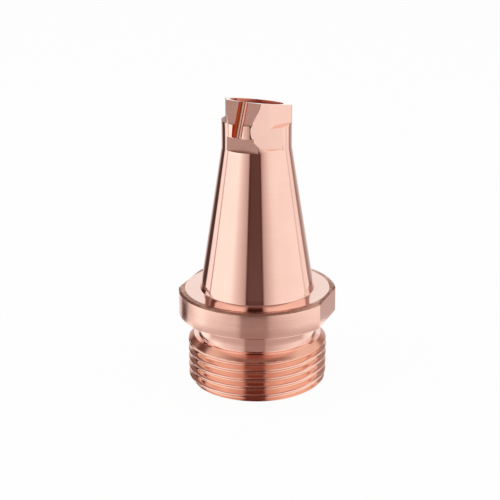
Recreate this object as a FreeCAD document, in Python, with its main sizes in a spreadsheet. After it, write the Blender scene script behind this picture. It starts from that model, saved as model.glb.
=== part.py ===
import FreeCAD, Part
import Sketcher
import os

# Laser welding nozzle, one piece, millimetres, standing on its threaded end.
# Azimuths are in degrees about the vertical axis: 0 faces -Y, positive turns toward +X.

doc = FreeCAD.newDocument("LaserWeldingNozzle")

# Driving sizes
sizes = [
    ("thread_diameter", 16.0, "M16 x 1 shank, major diameter"),
    ("thread_length", 5.5, "shank length from the base face"),
    ("base_chamfer", 0.4, "chamfer at the start of the thread"),
    ("runout_chamfer", 0.65, "chamfer at the end of the thread"),
    ("neck_diameter", 13.5, "relief between thread and flange"),
    ("neck_length", 2.5, "height of the relief"),
    ("flange_diameter", 18.0, "diameter of the flange"),
    ("flange_thickness", 3.0, "height of the flange"),
    ("flats_width", 17.0, "distance across the two spanner flats"),
    ("flats_azimuth", 70.0, "direction the first spanner flat faces"),
    ("cone_base_diameter", 13.0, "foot of the outer cone"),
    ("cone_length", 16.5, "height of the outer cone"),
    ("head_diameter", 7.8, "diameter of the head"),
    ("head_length", 5.0, "head height to the middle of the mouth"),
    ("mouth_tilt", 9.0, "slope of the mouth plane"),
    ("mouth_azimuth", -36.8, "direction in which the mouth plane rises"),
    ("bore_diameter", 5.9, "bore at the mouth"),
    ("throat_diameter", 10.0, "wide end of the conical passage"),
    ("throat_height", 8.0, "height at which the conical passage starts"),
    ("counterbore_diameter", 12.0, "recess in the base"),
    ("counterbore_depth", 5.0, "depth of the recess in the base"),
    ("side_azimuth", -86.5, "direction of the side flat"),
    ("side_distance", 3.38, "side flat to axis"),
    ("side_step", 3.0, "head height below the side flat"),
    ("front_azimuth", -27.0, "direction of the leaning front flat"),
    ("front_distance", 3.5, "front flat to axis at its foot"),
    ("front_lean", 5.0, "inward lean of the front flat"),
    ("front_step", 3.0, "head height below the front flat"),
    ("back_azimuth", 41.5, "direction of the right-hand flat"),
    ("back_distance", 3.24, "right-hand flat to axis"),
    ("back_step", 2.62, "head height below the right-hand flat"),
    ("back_roll", 6.0, "slope of the step under the right-hand flat"),
    ("pocket_azimuth", 17.0, "direction of the round-ended pocket"),
    ("pocket_distance", 3.38, "floor of the pocket to axis"),
    ("pocket_left", 1.76, "left edge of the pocket from its centre line"),
    ("pocket_right", 3.2, "right edge of the pocket from its centre line"),
    ("pocket_radius", 2.2, "radius of the lower left corner of the pocket"),
    ("pocket_step", 0.23, "head height below the pocket"),
    ("pocket_turn", 2.5, "height of the pocket at which its left edge starts to lean"),
    ("pocket_lean", 24.0, "lean of the upper left edge of the pocket"),
    ("relief_azimuth", -27.0, "direction of the flat below the ridge"),
    ("relief_distance", 3.4, "flat below the ridge to axis"),
    ("relief_height", 1.55, "height of the flat below the ridge"),
    ("groove_azimuth", -35.0, "direction of the wire groove"),
    ("groove_lean", 8.0, "inward lean of the wire groove"),
    ("groove_skew", 9.0, "sideways lean of the wire groove"),
    ("groove_radius", 0.7, "radius of the round bottom of the groove"),
    ("groove_distance", 4.1, "foot of the groove centre line to axis"),
    ("cut_margin", 3.0, "overrun of the cuts past the metal"),
]

sheet = doc.addObject("Spreadsheet::Sheet", "Sizes")
sheet.Label = "Sizes"
for row, (name, value, note) in enumerate(sizes, start=1):
    sheet.set("A%d" % row, name)
    sheet.set("B%d" % row, str(value))
    sheet.set("C%d" % row, note)
    sheet.setAlias("B%d" % row, name)
doc.recompute()

# Heights and radii that follow from the driving sizes
derived = [
    ("shank_radius", "=thread_diameter / 2"),
    ("neck_top", "=thread_length + neck_length"),
    ("flange_top", "=neck_top + flange_thickness"),
    ("cone_top", "=flange_top + cone_length"),
    ("mouth_height", "=cone_top + head_length"),
    ("blank_height", "=mouth_height + head_diameter / 2 * tan(mouth_tilt * 1deg) + 0.5"),
    ("side_floor", "=cone_top + side_step"),
    ("front_floor", "=cone_top + front_step"),
    ("back_floor", "=cone_top + back_step"),
    ("pocket_floor", "=cone_top + pocket_step"),
]
for row, (name, formula) in enumerate(derived, start=len(sizes) + 2):
    sheet.set("A%d" % row, name)
    sheet.set("B%d" % row, formula)
    sheet.setAlias("B%d" % row, name)
    doc.recompute()

body = doc.addObject("PartDesign::Body", "nozzle")
body.Label = "nozzle"
doc.recompute()


def origin_plane(role):
    for feature in body.Origin.OriginFeatures:
        if feature.Role == role:
            return feature
    raise ValueError("no origin plane " + role)


def new_sketch(name, role, offset):
    sketch = body.newObject("Sketcher::SketchObject", name)
    sketch.Label = name
    sketch.AttachmentSupport = [(origin_plane(role), "")]
    sketch.MapMode = "FlatFace"
    if offset:
        sketch.setExpression("AttachmentOffset", offset)
    doc.recompute()
    return sketch


def number(sketch, formula):
    value = sketch.evalExpression(formula)
    return float(getattr(value, "Value", value))


# A closed outline: each corner is (x formula, y formula, arc), where arc is None or
# the radius formula of the arc that leads on to the next corner, with its bulge side.
def outline(sketch, corners):
    points = []
    for x_formula, y_formula, arc in corners:
        x = number(sketch, x_formula)
        y = number(sketch, y_formula)
        points.append(FreeCAD.Vector(x, y, 0))
    edges = []
    for index, (x_formula, y_formula, arc) in enumerate(corners):
        start = points[index]
        end = points[(index + 1) % len(points)]
        if arc is None:
            edges.append((sketch.addGeometry(Part.LineSegment(start, end), False), 1, 2))
            continue
        radius_formula, side = arc
        radius = number(sketch, radius_formula)
        chord = end - start
        middle = (start + end) * 0.5
        normal = FreeCAD.Vector(-chord.y, chord.x, 0).normalize()
        reach = max(radius * radius - chord.Length * chord.Length / 4, 0.0) ** 0.5
        through = middle + normal * (side * (radius - reach))
        geometry = Part.Arc(start, through, end)
        edge = sketch.addGeometry(geometry, False)
        first = sketch.getPoint(edge, 1)
        if first.distanceToPoint(start) < first.distanceToPoint(end):
            edges.append((edge, 1, 2))
        else:
            edges.append((edge, 2, 1))
        if chord.Length < 1.999 * radius:
            rule = sketch.addConstraint(Sketcher.Constraint("Radius", edge, radius))
            sketch.setExpression("Constraints[%d]" % rule, radius_formula)
        else:
            sketch.addConstraint(Sketcher.Constraint("PointOnObject", edge, 3, -1))
    for index, (edge, first, last) in enumerate(edges):
        follower, follower_first, follower_last = edges[(index + 1) % len(edges)]
        sketch.addConstraint(Sketcher.Constraint("Coincident", edge, last, follower, follower_first))
    for index, (x_formula, y_formula, arc) in enumerate(corners):
        edge, first, last = edges[index]
        x = points[index].x
        y = points[index].y
        rule = sketch.addConstraint(Sketcher.Constraint("DistanceX", -1, 1, edge, first, x))
        sketch.setExpression("Constraints[%d]" % rule, x_formula)
        rule = sketch.addConstraint(Sketcher.Constraint("DistanceY", -1, 1, edge, first, y))
        sketch.setExpression("Constraints[%d]" % rule, y_formula)
    doc.recompute()


def cut(name, sketch, length, both_sides=False):
    before = body.Shape.Volume
    pocket = body.newObject("PartDesign::Pocket", name)
    pocket.Label = name
    pocket.Profile = sketch
    pocket.Type = "Length"
    pocket.setExpression("Length", length)
    if both_sides:
        pocket.Midplane = True
    else:
        pocket.Reversed = True
    sketch.Visibility = False
    doc.recompute()
    if not body.Shape.Volume < before - 1e-6:
        raise ValueError(name + " removes no metal")
    return pocket


# Turned form with its through passage
profile = new_sketch("TurnedProfile", "XZ_Plane", None)
outline(profile, [
    ("Sizes.counterbore_diameter / 2", "0", None),
    ("Sizes.shank_radius - Sizes.base_chamfer", "0", None),
    ("Sizes.shank_radius", "Sizes.base_chamfer", None),
    ("Sizes.shank_radius", "Sizes.thread_length - Sizes.runout_chamfer", None),
    ("Sizes.shank_radius - Sizes.runout_chamfer", "Sizes.thread_length", None),
    ("Sizes.neck_diameter / 2", "Sizes.thread_length", None),
    ("Sizes.neck_diameter / 2", "Sizes.neck_top", None),
    ("Sizes.flange_diameter / 2", "Sizes.neck_top", None),
    ("Sizes.flange_diameter / 2", "Sizes.flange_top", None),
    ("Sizes.cone_base_diameter / 2", "Sizes.flange_top", None),
    ("Sizes.head_diameter / 2", "Sizes.cone_top", None),
    ("Sizes.head_diameter / 2", "Sizes.blank_height", None),
    ("Sizes.bore_diameter / 2", "Sizes.blank_height", None),
    ("Sizes.bore_diameter / 2", "Sizes.cone_top", None),
    ("Sizes.throat_diameter / 2", "Sizes.throat_height", None),
    ("Sizes.throat_diameter / 2", "Sizes.counterbore_depth", None),
    ("Sizes.counterbore_diameter / 2", "Sizes.counterbore_depth", None),
])
turned = body.newObject("PartDesign::Revolution", "TurnedForm")
turned.Label = "TurnedForm"
turned.Profile = profile
turned.ReferenceAxis = (profile, ["V_Axis"])
turned.Angle = 360.0
profile.Visibility = False
doc.recompute()

# Two spanner flats across the flange
for side, turn in (("Right", "0"), ("Left", "180")):
    sketch = new_sketch(
        "SpannerFlat" + side, "XY_Plane",
        "placement(vector(0; 0; Sizes.neck_top); "
        "rotation(vector(0; 0; 1); Sizes.flats_azimuth + " + turn + "))")
    outline(sketch, [
        ("0 - Sizes.flange_diameter / 2", "0 - Sizes.flats_width / 2", None),
        ("0 - Sizes.flange_diameter / 2", "0 - Sizes.flats_width / 2 - Sizes.cut_margin", None),
        ("Sizes.flange_diameter / 2", "0 - Sizes.flats_width / 2 - Sizes.cut_margin", None),
        ("Sizes.flange_diameter / 2", "0 - Sizes.flats_width / 2", None),
    ])
    cut("SpannerFlatCut" + side, sketch, "Sizes.flange_thickness")


# Upright flats of the head, each cut from its step to the mouth
def upright_flat(name, stem, roll):
    sketch = new_sketch(
        name, "XY_Plane",
        "placement(vector(0; 0; Sizes." + stem + "_floor); "
        "rotation(vector(0; 0; 1); Sizes." + stem + "_azimuth)) * "
        "placement(vector(0; 0; 0); rotation(vector(0; 1; 0); " + roll + "))")
    outline(sketch, [
        ("0 - Sizes.head_diameter / 2", "0 - Sizes." + stem + "_distance", None),
        ("0 - Sizes.head_diameter / 2", "0 - Sizes.head_diameter / 2 - Sizes.cut_margin", None),
        ("Sizes.head_diameter / 2", "0 - Sizes.head_diameter / 2 - Sizes.cut_margin", None),
        ("Sizes.head_diameter / 2", "0 - Sizes." + stem + "_distance", None),
    ])
    cut(name + "Cut", sketch, "Sizes.head_length + Sizes.cut_margin")


upright_flat("SideFlat", "side", "0")
upright_flat("BackFlat", "back", "0 - Sizes.back_roll")

# Leaning front flat, drawn in the upright plane it faces along
front = new_sketch(
    "FrontFlat", "XZ_Plane",
    "placement(vector(0; 0; 0); rotation(vector(0; 1; 0); Sizes.front_azimuth - 90))")
outline(front, [
    ("Sizes.front_distance", "Sizes.front_floor", None),
    ("Sizes.head_diameter / 2 + Sizes.cut_margin", "Sizes.front_floor", None),
    ("Sizes.head_diameter / 2 + Sizes.cut_margin", "Sizes.front_floor + Sizes.head_length", None),
    ("Sizes.front_distance - Sizes.head_length * tan(Sizes.front_lean * 1deg)",
     "Sizes.front_floor + Sizes.head_length", None),
])
cut("FrontFlatCut", front, "Sizes.head_diameter + Sizes.cut_margin", both_sides=True)

# Round-ended pocket beside the front flat, floor parallel to the axis
pocket = new_sketch(
    "Pocket", "XZ_Plane",
    "placement(vector(0; 0; 0); rotation(vector(0; 1; 0); Sizes.pocket_azimuth)) * "
    "placement(vector(0; 0; Sizes.pocket_distance); rotation(vector(0; 1; 0); 0))")
outline(pocket, [
    ("(Sizes.blank_height + Sizes.cut_margin - Sizes.pocket_floor - Sizes.pocket_turn)"
     " * tan(Sizes.pocket_lean * 1deg) - Sizes.pocket_left",
     "Sizes.blank_height + Sizes.cut_margin", None),
    ("0 - Sizes.pocket_left", "Sizes.pocket_floor + Sizes.pocket_turn", None),
    ("0 - Sizes.pocket_left", "Sizes.pocket_floor + Sizes.pocket_radius", ("Sizes.pocket_radius", -1)),
    ("Sizes.pocket_radius - Sizes.pocket_left", "Sizes.pocket_floor", None),
    ("Sizes.pocket_right", "Sizes.pocket_floor", None),
    ("Sizes.pocket_right", "Sizes.blank_height + Sizes.cut_margin", None),
])
cut("PocketCut", pocket, "Sizes.cut_margin")

# Flat under the ridge
relief = new_sketch(
    "Relief", "XY_Plane",
    "placement(vector(0; 0; Sizes.cone_top); rotation(vector(0; 0; 1); Sizes.relief_azimuth))")
outline(relief, [
    ("0 - Sizes.head_diameter / 2", "0 - Sizes.relief_distance", None),
    ("0 - Sizes.head_diameter / 2", "0 - Sizes.head_diameter / 2 - Sizes.cut_margin", None),
    ("Sizes.head_diameter / 2", "0 - Sizes.head_diameter / 2 - Sizes.cut_margin", None),
    ("Sizes.head_diameter / 2", "0 - Sizes.relief_distance", None),
])
cut("ReliefCut", relief, "Sizes.relief_height")

# Sloping mouth
mouth = new_sketch(
    "Mouth", "XY_Plane",
    "placement(vector(0; 0; Sizes.mouth_height); "
    "rotation(vector(0; 0; 1); Sizes.mouth_azimuth)) * "
    "placement(vector(0; 0; 0); rotation(vector(1; 0; 0); 0 - Sizes.mouth_tilt))")
outline(mouth, [
    ("0 - Sizes.head_diameter", "0 - Sizes.head_diameter", None),
    ("Sizes.head_diameter", "0 - Sizes.head_diameter", None),
    ("Sizes.head_diameter", "Sizes.head_diameter", None),
    ("0 - Sizes.head_diameter", "Sizes.head_diameter", None),
])
cut("MouthCut", mouth, "Sizes.head_length")

# Round-bottomed wire groove, section drawn square to its own centre line
groove = new_sketch(
    "Groove", "XY_Plane",
    "placement(vector(0; 0; Sizes.cone_top + Sizes.relief_height); "
    "rotation(vector(0; 0; 1); Sizes.groove_azimuth)) * "
    "placement(vector(0; 0 - Sizes.groove_distance; 0); "
    "rotation(vector(1; 0; 0); 0 - Sizes.groove_lean)) * "
    "placement(vector(0; 0; 0); rotation(vector(0; 1; 0); Sizes.groove_skew))")
outline(groove, [
    ("0 - Sizes.groove_radius", "0", ("Sizes.groove_radius", 1)),
    ("Sizes.groove_radius", "0", None),
    ("Sizes.groove_radius", "0 - Sizes.cut_margin", None),
    ("0 - Sizes.groove_radius", "0 - Sizes.cut_margin", None),
])
cut("GrooveCut", groove, "Sizes.head_length + Sizes.cut_margin")

# Check every object and write the part
doc.recompute()
for item in doc.Objects:
    if "Invalid" in item.State or "Error" in item.State:
        raise ValueError(item.Name + " is not valid")
if body.Shape.isNull() or not body.Shape.isValid():
    raise ValueError("nozzle has no valid shape")
if len(body.Shape.Solids) != 1:
    raise ValueError("nozzle is not one solid")

os.makedirs("parts", exist_ok=True)
body.Shape.exportStep("parts/nozzle.step")
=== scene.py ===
"""Looks of a copper laser welding nozzle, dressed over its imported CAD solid."""

import logging
import math
from dataclasses import dataclass, field
from enum import Enum
from typing import NamedTuple, Sequence

import bmesh
import bpy
import numpy as np
from mathutils import Matrix


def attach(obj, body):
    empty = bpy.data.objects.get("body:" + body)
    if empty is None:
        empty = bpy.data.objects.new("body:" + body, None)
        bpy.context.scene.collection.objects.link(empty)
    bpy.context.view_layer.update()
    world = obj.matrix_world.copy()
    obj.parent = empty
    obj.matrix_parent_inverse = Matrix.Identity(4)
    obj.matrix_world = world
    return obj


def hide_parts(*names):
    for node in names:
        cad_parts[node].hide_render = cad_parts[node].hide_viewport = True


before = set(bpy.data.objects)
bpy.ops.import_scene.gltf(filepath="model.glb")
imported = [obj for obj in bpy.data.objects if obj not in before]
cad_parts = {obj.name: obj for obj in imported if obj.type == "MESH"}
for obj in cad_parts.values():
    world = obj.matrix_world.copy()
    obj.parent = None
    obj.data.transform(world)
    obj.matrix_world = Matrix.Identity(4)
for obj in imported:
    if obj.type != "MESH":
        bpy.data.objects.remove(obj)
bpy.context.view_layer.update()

LOG = logging.getLogger("nozzle")

# Metres in a millimetre
MM = 0.001

# Millimetres below which points are welded and edges are dropped
WELD = 0.002
SLIVER = 0.0002

# Sizes in millimetres that more than one sub-assembly uses
FLANGE_TOP = 11.0
HEAD_FOOT = 27.5
HEAD_RADIUS = 3.9

Band = tuple[np.ndarray, np.ndarray, np.ndarray]
Outline = tuple[np.ndarray, np.ndarray]
Stops = tuple[tuple[float, float], ...]
Colour = tuple[float, float, float]


class Skin(Enum):
    """The finishes on the nozzle's faces, in material slot order."""

    TURNED = 0
    THREAD = 1
    # milled flats, whose colour carries painted shade
    MILLED = 2
    BORE = 3
    FACED = 4
    BROAD = 5
    GROOVE = 6
    EDGE = 7
    RIM = 8
    FLAT = 9
    RUNOUT = 10

    def finish(self) -> str:
        """Name of the finish's material."""
        return "copper_" + self.name.lower()


class Marks(Enum):
    """Which way the tool marks of a finish run."""

    ROUND = "round"
    FACING = "facing"
    UPRIGHT = "upright"


# Numpy shapes


def column_angles(flat_azimuth: float, corner: float) -> np.ndarray:
    """Azimuths of the mesh columns, one degree apart and closer beside the corners of the flats.

    Args:
        flat_azimuth: Azimuth of the first flat, in degrees.
        corner: Half the angle that a flat spans, in degrees.

    Returns:
        Rising angles from 0 up to but not including 360, in degrees.
    """
    base = np.arange(0.0, 360.0, 1.0)
    offsets = np.arange(-3, 4) * 0.25
    centres = np.array([flat_azimuth, flat_azimuth + 180.0])
    corners = (centres[:, None] + np.array([-corner, corner])[None, :]).ravel()
    extra = (corners[:, None] + offsets[None, :]).ravel() % 360.0
    gap = np.abs((base[:, None] - extra[None, :] + 180.0) % 360.0 - 180.0).min(axis=1)
    return np.sort(np.concatenate([base[gap > 0.2], extra]))


def around(angles: np.ndarray, radii: np.ndarray, heights: np.ndarray) -> np.ndarray:
    """Puts rings of points round the axis: point = (r sin a, -r cos a, z).

    Args:
        angles: Column azimuths in degrees, shape (n,).
        radii: Radius of each point, shape (m, n).
        heights: Height of each point, shape (m, n).

    Returns:
        Points of shape (m, n, 3).
    """
    turn = np.radians(angles)[None, :]
    return np.stack([radii * np.sin(turn), -radii * np.cos(turn), heights], axis=-1)


def ring_faces(rows: int, columns: int) -> np.ndarray:
    """Quads that join each ring to the next and close round the axis.

    Args:
        rows: Number of rings.
        columns: Number of points in a ring.

    Returns:
        Vertex indices of shape (quads, 4), facing outwards for rings that rise.
    """
    row = np.arange(rows - 1)[:, None] * columns
    near = np.arange(columns)[None, :]
    far = (near + 1) % columns
    quads = np.stack([row + near, row + far, row + columns + far, row + columns + near], axis=-1)
    return quads.reshape(-1, 4)


def rounded(points: Sequence[tuple[float, float]], radii: Sequence[float], steps: int = 5) -> np.ndarray:
    """Rounds the corners of an open outline.

    Each corner is cut back by r tan(turn / 2) along both sides and the cut is filled by the arc of
    radius r that touches both.

    Args:
        points: Corners as (radius, height).
        radii: Rounding radius at each corner, 0 to keep it sharp.
        steps: Points on each arc.

    Returns:
        The outline as an array of shape (k, 2).
    """
    corners = np.asarray(points, dtype=float)
    line: list[np.ndarray] = []
    for index, corner in enumerate(corners):
        radius = radii[index]
        if radius <= 0.0 or index in (0, len(corners) - 1):
            line.append(corner[None, :])
            continue
        back = corners[index - 1] - corner
        ahead = corners[index + 1] - corner
        back = back / np.linalg.norm(back)
        ahead = ahead / np.linalg.norm(ahead)
        half = math.acos(float(np.clip(back @ ahead, -1.0, 1.0))) / 2.0
        start = corner + back * radius / math.tan(half)
        middle = corner + (back + ahead) / np.linalg.norm(back + ahead) * radius / math.sin(half)
        first = start - middle
        end = corner + ahead * radius / math.tan(half) - middle
        share = np.linspace(0.0, 1.0, steps)[:, None]
        swing = math.pi - 2.0 * half
        arc = (np.sin((1.0 - share) * swing) * first + np.sin(share * swing) * end) / math.sin(swing)
        line.append(middle + arc)
    return np.concatenate(line)


def soft_min(first: np.ndarray, second: np.ndarray, width: float) -> np.ndarray:
    """The smaller of two values with the crease between them rounded.

    Formula: min(a, b) - h * h * k / 4 with h = max(k - |a - b|, 0) / k.

    Args:
        first: First values.
        second: Second values.
        width: Width k of the rounding.

    Returns:
        The smoothed minimum.
    """
    mix = np.maximum(width - np.abs(first - second), 0.0) / width
    return np.minimum(first, second) - mix * mix * width / 4.0


def turn_matrix(azimuth: float, lean: float = 0.0, skew: float = 0.0) -> np.ndarray:
    """Rotation Rz(azimuth) Rx(-lean) Ry(skew), angles in degrees.

    Args:
        azimuth: Turn about the nozzle's axis.
        lean: Inward lean of the local upright.
        skew: Sideways lean of the local upright.

    Returns:
        A 3 by 3 matrix.
    """
    a, b, c = np.radians([azimuth, -lean, skew])
    about_z = np.array([[np.cos(a), -np.sin(a), 0], [np.sin(a), np.cos(a), 0], [0, 0, 1]])
    about_x = np.array([[1, 0, 0], [0, np.cos(b), -np.sin(b)], [0, np.sin(b), np.cos(b)]])
    about_y = np.array([[np.cos(c), 0, np.sin(c)], [0, 1, 0], [-np.sin(c), 0, np.cos(c)]])
    return about_z @ about_x @ about_y


def prism(outline: np.ndarray, axes: np.ndarray, origin: np.ndarray, low: float,
          high: float) -> tuple[np.ndarray, list[list[int]]]:
    """A closed prism: the outline swept straight from low to high along its third axis.

    Args:
        outline: Corners in the plane of the first two axes, counter-clockwise, shape (k, 2).
        axes: Matrix whose columns are the three axes.
        origin: Where the outline's own origin lies.
        low: Start of the sweep.
        high: End of the sweep.

    Returns:
        Points of shape (2k, 3) and a list of faces that point outwards.
    """
    count = len(outline)
    levels = np.repeat([low, high], count)[:, None]
    local = np.concatenate([np.tile(outline, (2, 1)), levels], axis=1)
    points = local @ axes.T + origin
    near = np.arange(count)
    far = (near + 1) % count
    sides = np.stack([near, far, far + count, near + count], axis=-1)
    caps = [list(range(count))[::-1], list(range(count, 2 * count))]
    return points, sides.tolist() + caps


def mesh_object(name: str, points: np.ndarray, faces: Sequence[Sequence[int]],
                skins: np.ndarray | None = None) -> bpy.types.Object:
    """Makes a mesh object from points in millimetres.

    Args:
        name: Name of the object.
        points: Points of shape (n, 3), in millimetres.
        faces: Vertex indices of each face.
        skins: Material slot of each face.

    Returns:
        The object, linked to the scene, at the origin.
    """
    mesh = bpy.data.meshes.new(name)
    mesh.from_pydata((points * MM).tolist(), [], [list(face) for face in faces])
    if skins is not None:
        mesh.polygons.foreach_set("material_index", np.asarray(skins, dtype=np.int32))
    mesh.update()
    piece = bpy.data.objects.new(name, mesh)
    bpy.context.scene.collection.objects.link(piece)
    return piece


# Sub-assemblies


@dataclass
class Shank:
    """Threaded shank: a right-hand helix between two chamfers."""

    radius: float = 8.0
    length: float = 5.5
    pitch: float = 1.0
    depth: float = 0.6134
    crest_height: float = 0.86
    crest_round: float = 0.12
    root_round: float = 0.12
    base_chamfer: float = 0.4
    runout_chamfer: float = 0.65
    runout_gap: float = 0.12
    runout_fade: float = 0.35
    row_phases: tuple[float, ...] = (
        -0.0625, -0.035, 0.0, 0.035, 0.0625, 0.10, 0.15, 0.21, 0.27, 0.33, 0.37, 0.405,
        0.44, 0.47, 0.5, 0.53, 0.56, 0.595, 0.63, 0.67, 0.73, 0.79, 0.85, 0.90)

    def depth_at(self, phase: np.ndarray) -> np.ndarray:
        """Depth below the crest circle of a 60 degree thread.

        Formula: the crest is flat for an eighth of the pitch, the flanks fall by 1.732 of the
        distance from it, and both the crest's edges and the root are rounded.

        Args:
            phase: Height over the crest line in pitches.

        Returns:
            Depth in millimetres.
        """
        off = np.abs((phase + 0.5) % 1.0 - 0.5) * self.pitch
        flank = (off - self.pitch / 16.0) * math.sqrt(3.0)
        crest = -soft_min(-flank, np.zeros_like(off), self.crest_round)
        start = -soft_min(np.array(self.pitch / 16.0 * math.sqrt(3.0)), np.array(0.0), self.crest_round)
        return soft_min(crest - start, np.full_like(off, self.depth), self.root_round)

    def radius_at(self, angles: np.ndarray, heights: np.ndarray) -> np.ndarray:
        """Radius of the threaded surface: crest radius less the thread depth, under both chamfers.

        The grooves run out to nothing just below the upper chamfer.

        Args:
            angles: Azimuths in degrees.
            heights: Heights in millimetres.

        Returns:
            Radii in millimetres.
        """
        turns = ((angles + 180.0) % 360.0 - 180.0) / 360.0
        phase = (heights - self.crest_height) / self.pitch - turns
        runout = self.length - self.runout_chamfer + self.runout_gap
        fade = np.clip((runout - heights) / self.runout_fade, 0.0, 1.0)
        thread = self.radius - self.depth_at(phase) * fade * fade * (3.0 - 2.0 * fade)
        low = self.radius - self.base_chamfer + heights
        high = self.radius - self.runout_chamfer + (self.length - heights)
        return np.minimum(np.minimum(thread, low), high)

    def strip(self, angles: np.ndarray) -> Outline:
        """The threaded surface as a strip that follows the helix and is clamped at both ends.

        Formula: row j at azimuth a lies at height (phase j + a / 360) pitches over the first crest,
        clamped between base and end, and has the radius that the thread has there.

        Args:
            angles: Column azimuths in degrees.

        Returns:
            Points of shape (n, 3) and quads of shape (m, 4).
        """
        turns = int(math.ceil(self.length / self.pitch)) + 3
        phases = (np.arange(-3, turns)[:, None] + np.array(self.row_phases)[None, :]).ravel()
        start = int(np.argmin(np.abs(angles - 180.0)))
        order = np.concatenate([angles[start:], angles[:start] + 360.0, [angles[start] + 360.0]])
        heights = self.crest_height + self.pitch * (phases[:, None] + (order[None, :] - 360.0) / 360.0)
        heights = np.clip(heights, 0.0, self.length)
        radii = self.radius_at(np.broadcast_to(order, heights.shape), heights)
        points = around(order, radii, heights)
        rows, columns = heights.shape
        row = np.arange(rows - 1)[:, None] * columns
        near = np.arange(columns - 1)[None, :]
        above = row + columns
        quads = np.stack([row + near, row + near + 1, above + near + 1, above + near], axis=-1)
        return points.reshape(-1, 3), quads.reshape(-1, 4)


@dataclass
class Flange:
    """Neck and flange with two spanner flats, up to the foot of the cone."""

    neck_radius: float = 6.75
    neck_round: float = 0.15
    bottom: float = 8.0
    under_round: float = 0.12
    top: float = FLANGE_TOP
    radius: float = 9.0
    rounding: float = 0.10
    chamfer: float = 0.22
    chamfer_round: float = 0.03
    flat_distance: float = 8.5
    flat_azimuth: float = 70.0
    flat_round: float = 0.05
    flat_reach: float = 1.0

    def corner(self) -> float:
        """Half the angle that one flat spans, in degrees."""
        return math.degrees(math.acos(self.flat_distance / self.radius))

    def trim(self, angles: np.ndarray, radii: np.ndarray) -> np.ndarray:
        """Brings a ring in to the two flats: r = min(r, (d - inset) / |cos(a - a0)|).

        Args:
            angles: Column azimuths in degrees, shape (n,).
            radii: Ring radii, shape (m,).

        Returns:
            Radii of shape (m, n).
        """
        away = np.abs(np.cos(np.radians(angles - self.flat_azimuth)))
        inset = np.maximum(self.radius - radii, 0.0)[:, None]
        flat = (self.flat_distance - inset) / np.maximum(away, 0.2)[None, :]
        ring = np.broadcast_to(radii[:, None], flat.shape)
        trimmed = soft_min(ring, flat, self.flat_round)
        inner = np.minimum(ring, self.flat_distance - self.chamfer)
        return np.where(inset <= self.chamfer + 1e-6, trimmed, inner)


@dataclass
class Cone:
    """Long outer cone between flange and head."""

    foot: float = FLANGE_TOP
    foot_radius: float = 6.5
    foot_round: float = 0.12
    top: float = HEAD_FOOT
    top_radius: float = HEAD_RADIUS
    rows: int = 30

    def slope(self) -> float:
        """How much the radius falls for each millimetre of height."""
        return (self.foot_radius - self.top_radius) / (self.top - self.foot)


@dataclass
class Passage:
    """Way of the beam through the nozzle: recess in the base, step, cone, mouth bore."""

    recess_radius: float = 6.0
    recess_depth: float = 5.0
    recess_chamfer: float = 0.12
    corner_round: float = 0.12
    edge_round: float = 0.08
    throat_radius: float = 5.0
    throat_height: float = 8.0
    throat_round: float = 0.5
    mouth_radius: float = 2.95

    def radius_at(self, height: float, top: float) -> float:
        """Radius of the conical passage at a height between throat and head."""
        share = (height - self.throat_height) / (top - self.throat_height)
        return self.throat_radius + (self.mouth_radius - self.throat_radius) * share


class Spot(NamedTuple):
    """Place of a flat: azimuth in degrees, distance from the axis, height over the head's foot."""

    azimuth: float
    distance: float
    step: float


@dataclass
class Cut:
    """One cut of the mill into the head: a prism that takes metal away."""

    name: str
    outline: np.ndarray
    axes: np.ndarray
    origin: np.ndarray
    low: float
    high: float
    skin: Skin = Skin.MILLED
    floor: Skin | None = None

    def skins(self, count: int) -> np.ndarray:
        """Finish of each face of the prism, whose last face but one is the floor of the cut."""
        slots = np.full(count, self.skin.value)
        slots[-2] = (self.floor or self.skin).value
        return slots


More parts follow.
